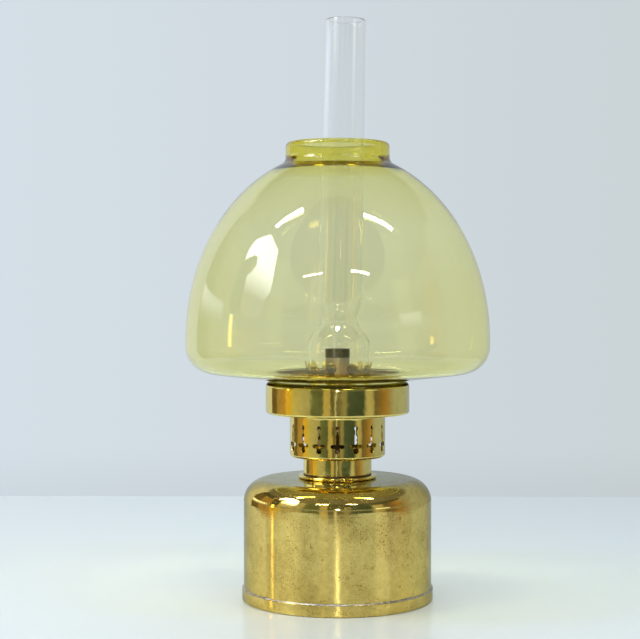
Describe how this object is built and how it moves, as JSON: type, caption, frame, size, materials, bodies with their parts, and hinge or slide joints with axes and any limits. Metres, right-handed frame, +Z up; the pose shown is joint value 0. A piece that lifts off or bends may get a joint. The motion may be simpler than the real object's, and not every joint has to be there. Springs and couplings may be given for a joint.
{
  "type": "kerosene lamp",
  "caption": "Table kerosene lamp with a drum-shaped brass font, a screw-in round-wick burner, a pierced air basket, a clear chimney and a dome glass shade.",
  "frame": {"origin": "centre of the foot, at the height of the table", "axes": "+Z up along the font's axis, -Y to the front, the winder's knob at the back (+Y)"},
  "size_m": [0.1668, 0.1668, 0.3178],
  "materials": {
    "font_brass": "spun sheet brass, polished long ago, with a light brown tarnish in specks",
    "burner_brass": "bright polished sheet brass",
    "old_brass": "brass browned by heat, blackened at the wick tube's end",
    "solder": "dull grey soft solder",
    "seal": "thin dark leather washer",
    "wick_cotton": "woven cotton",
    "clear_glass": "clear drawn glass",
    "shade_glass": "transparent yellow-green blown glass, glossy"
  },
  "bodies": {
    "font": {"font_shell": "font_brass", "font_base_pan": "font_brass", "font_solder_seam": "solder", "font_collar": "burner_brass"},
    "seal": {"collar_seal": "seal"},
    "burner": {"burner_screw_ring": "burner_brass", "burner_floor": "burner_brass", "burner_neck": "burner_brass", "burner_basket": "burner_brass", "shade_gallery": "burner_brass", "chimney_holder": "burner_brass", "air_screen": "burner_brass", "outer_wick_tube": "old_brass", "inner_draught_tube": "old_brass", "wheel_housing": "old_brass", "winder_bush": "burner_brass"},
    "winder": {"winder_shaft": "burner_brass", "star_wheel_front": "burner_brass", "star_wheel_rear": "burner_brass", "winder_knob": "burner_brass"},
    "wick": {"wick": "wick_cotton"},
    "chimney": {"chimney": "clear_glass"},
    "shade": {"glass_shade": "shade_glass"}
  },
  "joints": [
    {"name": "seal_rise", "type": "slide", "parent": "font", "child": "seal", "axis": [0, 0, 1], "range_m": [0, 0.0075]},
    {"name": "burner_unscrew", "type": "hinge", "parent": "seal", "child": "burner", "pos_m": [0, 0, 0.069], "axis": [0, 0, 1], "range_deg": [0, 1080]},
    {"name": "winder_turn", "type": "hinge", "parent": "burner", "child": "winder", "pos_m": [-0.00989, 0, 0.089], "axis": [0, -1, 0], "range_deg": [-76.39, 63.66]},
    {"name": "wick_rise", "type": "slide", "parent": "burner", "child": "wick", "axis": [0, 0, 1], "range_m": [-0.006, 0.005]},
    {"name": "chimney_lift", "type": "slide", "parent": "burner", "child": "chimney", "axis": [0.0209, 0, 0.9998], "range_m": [0, 0.2]},
    {"name": "shade_lift", "type": "slide", "parent": "burner", "child": "shade", "axis": [0, 0, 1], "range_m": [0, 0.21]}
  ],
  "couplings": [
    {"joint": "seal_rise", "follows": "burner_unscrew", "m_per_rad": 0.00039789},
    {"joint": "wick_rise", "follows": "winder_turn", "m_per_rad": 0.0045}
  ]
}
